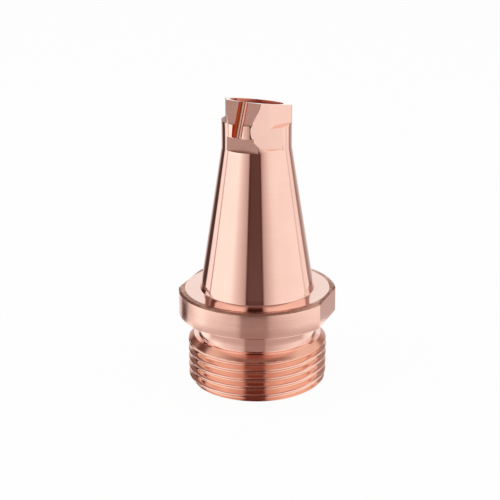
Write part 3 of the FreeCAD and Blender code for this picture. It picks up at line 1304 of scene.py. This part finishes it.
FINISHES = (
    Copper(Skin.TURNED, LIGHT, DEEP, Marks.ROUND, roughness=0.04, spread=0.03,
           relief=0.0026, along=0.02, across=9.0, tone=0.15, spots=0.3),
    Copper(Skin.THREAD, (0.94, 0.57, 0.46), (0.82, 0.46, 0.35), Marks.ROUND, roughness=0.05, spread=0.04,
           relief=0.0010, along=0.05, across=12.0, tone=0.2, spots=0.6,
           inner=(0.90, 0.58, 0.46), outer=7.96, depth=0.5),
    # painted shade: the milled flats get a darkened copy of the copper, standing in for the dark floor and
    # panel they mirror
    Copper(Skin.MILLED, (0.46, 0.245, 0.20), (0.39, 0.205, 0.16), Marks.UPRIGHT, roughness=0.28, spread=0.05,
           relief=0.0010, along=0.6, across=7.0, tone=0.25, spots=0.3, worn=0.0),
    # painted shade: the bore's dark red stands in for shade and copper-on-copper reflection inside the
    # passage
    Copper(Skin.BORE, (0.84, 0.26, 0.16), (0.55, 0.14, 0.07), Marks.ROUND, roughness=0.30, spread=0.10,
           relief=0.0016, along=0.05, across=6.0, tone=0.3, spots=0.8),
    Copper(Skin.FACED, (0.95, 0.70, 0.62), (0.82, 0.52, 0.43), Marks.FACING, roughness=0.04, spread=0.04,
           relief=0.0010, along=0.05, across=8.0, tone=0.12, spots=0.3),
    Copper(Skin.BROAD, (1.0, 0.67, 0.57), (0.90, 0.57, 0.47), Marks.UPRIGHT, roughness=0.12, spread=0.04,
           relief=0.0008, along=0.5, across=6.0, tone=0.12, spots=0.2, worn=0.0),
    # painted shade and reflection: darker copper in the groove's hollow, with its red walls, dark lip and
    # dark line laid over
    Copper(Skin.GROOVE, (0.82, 0.51, 0.42), (0.72, 0.40, 0.31), Marks.UPRIGHT, roughness=0.34, spread=0.05,
           relief=0.0008, along=0.5, across=6.0, tone=0.15, spots=0.2, worn=0.0,
           tint=Tint(*Head().groove_frame())),
    # painted shade: the flange's top chamfer is darkened into a dotted dark line
    Copper(Skin.EDGE, (0.74, 0.40, 0.30), (0.30, 0.13, 0.085), Marks.ROUND, roughness=0.22, spread=0.10,
           relief=0.0040, along=1.4, across=9.0, tone=0.6, spots=1.0),
    Copper(Skin.RIM, (0.97, 0.63, 0.53), (0.80, 0.46, 0.36), Marks.ROUND, roughness=0.12, spread=0.06,
           relief=0.0040, along=0.16, across=11.0, tone=0.32, spots=0.4),
    Copper(Skin.FLAT, (0.92, 0.585, 0.49), (0.84, 0.50, 0.40), Marks.UPRIGHT, roughness=0.12, spread=0.04,
           relief=0.0008, along=0.5, across=6.0, tone=0.12, spots=0.2, worn=0.0),
    # painted shade: the thread's upper chamfer is darker than the thread below
    Copper(Skin.RUNOUT, (0.84, 0.43, 0.31), (0.70, 0.33, 0.23), Marks.ROUND, roughness=0.10, spread=0.04,
           relief=0.0020, along=0.05, across=12.0, tone=0.25, spots=0.6),
)


# Studio


@dataclass
class Studio:
    """Plain pale floor, a light tent round the nozzle and the camera of the photograph.

    Each table of stops goes round the nozzle: azimuth in degrees, 0 in front, and brightness of the
    tent's panel there. The floor tables say what the metal sees in the floor, from near_floor in to
    foot_floor, and each reach says between which distances, in metres, one table gives way to the next.
    """

    camera_at: tuple[float, float, float] = (0.0, -0.13172875, 0.05916048)
    pitch: float = 0.321183
    yaw: float = -0.0060914
    roll: float = -0.0044457
    lens: float = 87.836
    tent: Stops = (
        (-180, 1.0), (-160, 0.8), (-148, 0.45), (-143, 0.07), (-125, 0.04), (-122, 1.1), (-107, 1.12),
        (-105.5, 0.4), (-104, 0.4), (-102.5, 1.2), (-56, 1.2), (-48, 1.02), (-42, 0.88), (-24, 0.55),
        (-21.5, 0.07), (-16, 0.12), (6, 0.13), (12, 0.08), (13.5, 0.5), (18, 0.62), (22, 0.71), (31, 0.87),
        (38, 0.99), (50, 1.05), (105, 1.08), (106.5, 0.8), (109.5, 0.8), (111, 1.02), (125, 1.0),
        (127.5, 0.35), (135, 0.38), (180, 1.1))
    near_floor: Stops = (
        (-180, 1.2), (-150, 1.0), (-130, 0.8), (-125, 0.08), (-109, 0.08), (-106, 0.82), (-98, 0.86),
        (-88, 1.1), (-76, 1.22), (-60, 0.96), (-28, 0.74), (-22, 0.58),
        (-20, 0.36), (12, 0.36), (15, 0.56), (27, 0.68), (47, 0.88), (70, 1.04), (96, 1.04), (108, 0.9),
        (115, 0.58), (135, 0.58), (145, 0.8), (180, 1.2))
    neck_floor: Stops = (
        (-180, 1.2), (-130, 1.25), (-96, 1.25), (-92, 1.0), (-87, 0.7), (-60, 0.68), (-28, 0.6), (-22, 0.54),
        (-20, 0.34), (12, 0.34), (15, 0.5), (27, 0.57), (47, 0.62), (84, 0.64), (90, 0.95), (110, 1.15),
        (180, 1.2))
    close_floor: Stops = (
        (-180, 1.0), (-99, 1.0), (-94, 0.2), (-80, 0.12), (-76, 0.85), (-66, 1.1), (-48, 1.1), (-34, 1.0),
        (-20, 0.72), (-16, 0.31), (8, 0.31), (12.5, 0.62), (26, 0.9), (44, 1.1), (76, 1.1),
        (81, 0.75), (97, 0.75), (103, 1.1), (180, 1.0))
    foot_floor: Stops = (
        (-180, 1.0), (-86, 1.0), (-81, 0.2), (-68, 0.12), (-63, 0.85), (-40, 1.1), (-18, 0.75), (-12, 0.14),
        (7, 0.14), (11, 0.75), (30, 1.1), (63, 1.1), (69, 0.7), (85, 0.7), (92, 1.0), (180, 1.0))
    upper: Stops = (
        (-180, 0.97), (-156, 0.97), (-150, 0.25), (-134, 0.25), (-128, 0.5), (-122, 0.15), (-110, 0.15),
        (-106, 0.95), (-60, 1.1), (-34, 1.0), (-25, 0.5),
        (-22, 0.045), (12, 0.045), (16, 0.5), (26, 0.95), (60, 1.1), (128, 1.0), (134, 0.45), (150, 0.4),
        (156, 0.9), (180, 0.97))
    peak: float = 1.6
    warm_green: float = 0.3
    warm_blue: float = 0.35
    close_warmth: float = 2.2
    roof: float = 0.3
    floor_radii: tuple[float, ...] = (0.5, 120.0, 700.0, 3000.0)
    floor_drop: float = 0.02
    floor_glow: float = 0.96
    paper: float = 0.86
    upper_rise: tuple[float, float] = (0.13, 0.25)
    roof_rise: tuple[float, float] = (0.72, 0.88)
    reach_from: tuple[float, float, float] = (0.0, -0.003, 0.0)
    close_reach: tuple[float, float] = (0.0090, 0.0110)
    neck_reach: tuple[float, float] = (0.0168, 0.0176)
    near_reach: tuple[float, float] = (0.0225, 0.0236)
    tent_reach: tuple[float, float] = (0.036, 0.046)
    lamp_at: tuple[float, float, float] = (-0.12, -0.05, 0.55)
    lamp_turn: tuple[float, float, float] = (0.09, -0.21, 0.0)
    lamp_size: float = 0.5
    lamp_power: float = 1.2

    def ring_light(self, graph: Graph, vector: object, stops: Stops, warmth: float = 1.0) -> object:
        """Light by direction: azimuth = atan2(x, -y), read through a ramp of brightness.

        Args:
            graph: Where the nodes go.
            vector: Direction or place.
            stops: Azimuth in degrees and brightness, up to the peak.
            warmth: How much warmer the dim panels are.

        Returns:
            A colour socket.
        """
        x, y, _ = graph.split(vector)
        angle = graph.math("ARCTAN2", x, graph.math("MULTIPLY", y, -1.0))
        share = graph.scaled(angle, 0.5 / math.pi, 0.5)
        ramp = graph.node("ShaderNodeValToRGB")
        bar = ramp.color_ramp
        bar.elements.remove(bar.elements[-1])
        for index, (azimuth, level) in enumerate(stops):
            place = (azimuth + 180.0) / 360.0
            stop = bar.elements[0] if index == 0 else bar.elements.new(place)
            stop.position = place
            stop.color = (*(value / self.peak for value in self.warm(level, warmth)), 1.0)
        graph.link(share, ramp.inputs[0])
        scaled = graph.node("ShaderNodeVectorMath", operation="SCALE")
        graph.link(ramp.outputs[0], scaled.inputs[0])
        scaled.inputs["Scale"].default_value = self.peak
        return scaled.outputs[0]

    def warm(self, level: float, warmth: float = 1.0) -> Colour:
        """Colour of a panel: green and blue are powers over 1 of the level, so dim panels are warm."""
        return level, level ** (1.0 + self.warm_green * warmth), level ** (1.0 + self.warm_blue * warmth)

    def world(self) -> None:
        """A white tent for the camera and the tent's bright and dark panels for the metal."""
        world = bpy.data.worlds.new("tent")
        bpy.context.scene.world = world
        graph = fresh_graph(world)
        out = graph.node("ShaderNodeOutputWorld")
        back = graph.node("ShaderNodeBackground")
        ahead = graph.node("ShaderNodeTexCoord").outputs["Generated"]
        rise = graph.split(ahead)[2]
        level = self.ring_light(graph, ahead, self.tent)
        upper = self.ring_light(graph, ahead, self.upper)
        level = graph.mix(graph.span(rise, *self.upper_rise), level, upper)
        level = graph.mix(graph.span(rise, *self.roof_rise), level, (*self.warm(self.roof), 1.0))
        path = graph.node("ShaderNodeLightPath")
        colour = graph.mix(path.outputs["Is Camera Ray"], level, (1.0, 1.0, 1.0, 1.0))
        graph.link(colour, back.inputs["Color"])
        graph.link(back.outputs[0], out.inputs[0])

    def floor(self) -> bpy.types.Object:
        """A round white floor; the metal sees the tent's panels in it, plainer close by.

        Returns:
            The floor object.
        """
        angles = np.arange(0.0, 360.0, 3.0)
        radii = np.repeat(np.array(self.floor_radii)[:, None], len(angles), axis=1)
        points = around(angles, radii, np.full_like(radii, -self.floor_drop)).reshape(-1, 3)
        quads = ring_faces(len(radii), len(angles))[:, ::-1]
        cap = [list(range(len(angles)))]
        piece = mesh_object("floor", points, quads.tolist() + cap)
        made = bpy.data.materials.new("floor_paper")
        graph = fresh_graph(made)
        surface = graph.node("ShaderNodeOutputMaterial")
        paper = graph.node("ShaderNodeBsdfDiffuse")
        paper.inputs["Color"].default_value = (self.paper, self.paper, self.paper, 1.0)
        glow = graph.node("ShaderNodeEmission")
        place = graph.node("ShaderNodeTexCoord").outputs["Object"]
        level = self.ring_light(graph, place, self.foot_floor, self.close_warmth)
        reach = graph.node("ShaderNodeVectorMath", operation="DISTANCE")
        graph.link(place, reach.inputs[0])
        reach.inputs[1].default_value = self.reach_from
        zones = ((self.close_reach, self.close_floor, self.close_warmth),
                 (self.neck_reach, self.neck_floor, 1.0),
                 (self.near_reach, self.near_floor, 1.0),
                 (self.tent_reach, self.tent, 1.0))
        for ends, stops, warmth in zones:
            light = self.ring_light(graph, place, stops, warmth)
            level = graph.mix(graph.span(reach.outputs["Value"], *ends, "SMOOTHSTEP"), level, light)
        path = graph.node("ShaderNodeLightPath")
        colour = graph.mix(path.outputs["Is Camera Ray"], level, (1.0, 1.0, 1.0, 1.0))
        graph.link(colour, glow.inputs["Color"])
        seen = graph.math("MAXIMUM", path.outputs["Is Camera Ray"], path.outputs["Is Glossy Ray"])
        blend = graph.node("ShaderNodeMixShader")
        graph.link(graph.math("MULTIPLY", seen, self.floor_glow), blend.inputs[0])
        graph.link(paper.outputs[0], blend.inputs[1])
        graph.link(glow.outputs[0], blend.inputs[2])
        graph.link(blend.outputs[0], surface.inputs[0])
        piece.data.materials.append(made)
        return piece

    def lamp(self) -> None:
        """One large soft lamp above, for the faint shadow on the floor."""
        data = bpy.data.lights.new("soft_lamp", "AREA")
        data.shape = "DISK"
        data.size = self.lamp_size
        data.energy = self.lamp_power
        lamp = bpy.data.objects.new("soft_lamp", data)
        lamp.location = self.lamp_at
        lamp.rotation_euler = self.lamp_turn
        lamp.visible_glossy = False
        bpy.context.scene.collection.objects.link(lamp)

    def camera(self) -> None:
        """The camera: place, direction and lens fitted to the photograph."""
        data = bpy.data.cameras.new("camera")
        data.sensor_width = 36.0
        data.lens = self.lens
        data.clip_start = 0.005
        data.clip_end = 20.0
        pitch, yaw, roll = self.pitch, self.yaw, self.roll
        turned = np.array([math.sin(yaw), math.cos(yaw), 0.0])
        ahead = turned * math.cos(pitch) - np.array([0.0, 0.0, math.sin(pitch)])
        level = np.array([math.cos(yaw), -math.sin(yaw), 0.0])
        above = np.cross(level, ahead)
        camera = bpy.data.objects.new("camera", data)
        matrix = np.eye(4)
        matrix[:3, 0] = math.cos(roll) * level + math.sin(roll) * above
        matrix[:3, 1] = -math.sin(roll) * level + math.cos(roll) * above
        matrix[:3, 2] = -ahead
        matrix[:3, 3] = self.camera_at
        camera.matrix_world = Matrix(matrix.tolist())
        bpy.context.scene.collection.objects.link(camera)
        bpy.context.scene.camera = camera


def main() -> None:
    """Builds the nozzle and the studio and logs each."""
    logging.basicConfig(level=logging.INFO, format="%(name)s: %(message)s")
    groups = {"tool_marks": tool_marks_group(), "tarnish": tarnish_group(), "edge_wear": edge_wear_group(),
              "valley": valley_group(), "heat_tint": heat_tint_group()}
    finishes = {finish.skin: finish.material(groups) for finish in FINISHES}
    LOG.info("finishes: %d", len(finishes))
    nozzle = Nozzle()
    piece = nozzle.build()
    nozzle.dress(piece, finishes)
    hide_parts("nozzle")
    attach(piece, "root")
    LOG.info("nozzle: %s", piece.name)
    studio = Studio()
    studio.world()
    studio.floor()
    studio.lamp()
    studio.camera()
    LOG.info("studio: ready")
    bpy.context.scene.view_settings.view_transform = "Standard"


if __name__ == "__main__":
    main()
